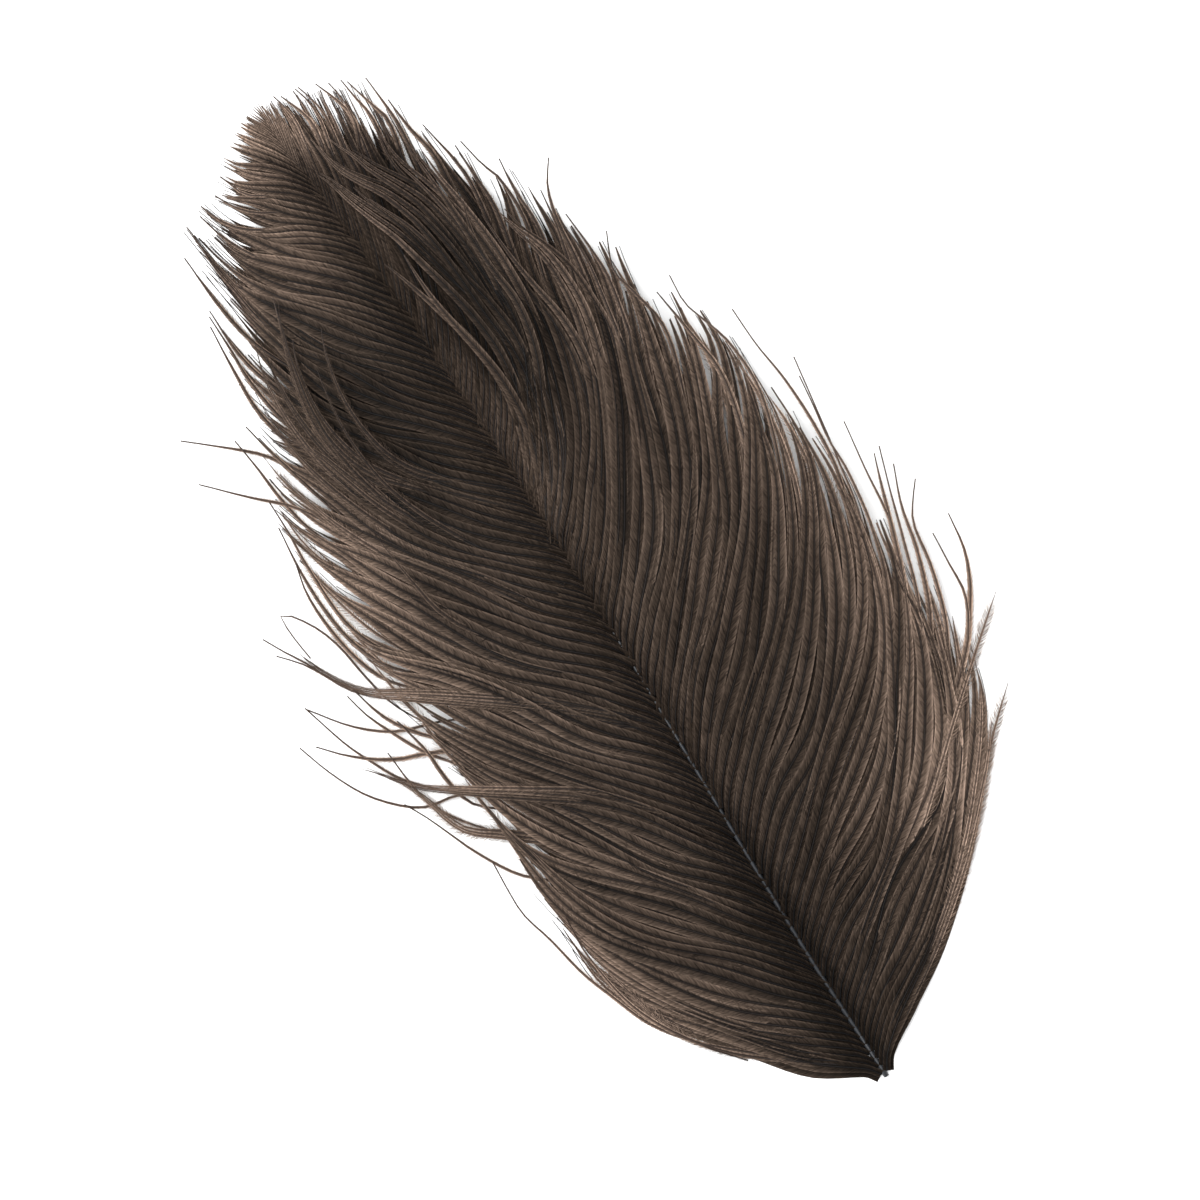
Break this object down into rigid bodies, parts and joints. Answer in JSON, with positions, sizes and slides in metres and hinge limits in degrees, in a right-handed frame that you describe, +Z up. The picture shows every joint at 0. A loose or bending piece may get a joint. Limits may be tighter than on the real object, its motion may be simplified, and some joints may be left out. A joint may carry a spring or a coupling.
{
  "type": "ostrich feather",
  "caption": "Soft dark brown ostrich body feather lying on its underside, with a thin bowed shaft and two full vanes of loose, drooping barbs.",
  "frame": {"origin": "on the surface the feather lies on, under the middle of its bounding box", "axes": "+Y along the shaft from its cut end to the tip, +X towards the right vane as seen from above, +Z up, out of the feather's upper side"},
  "size_m": [0.1188, 0.2042, 0.013],
  "materials": {
    "barbs": "soft and dull, dark brown, with slightly glossy bluish black barb stems"
  },
  "bodies": {
    "root": {"feather": "barbs"}
  },
  "joints": []
}
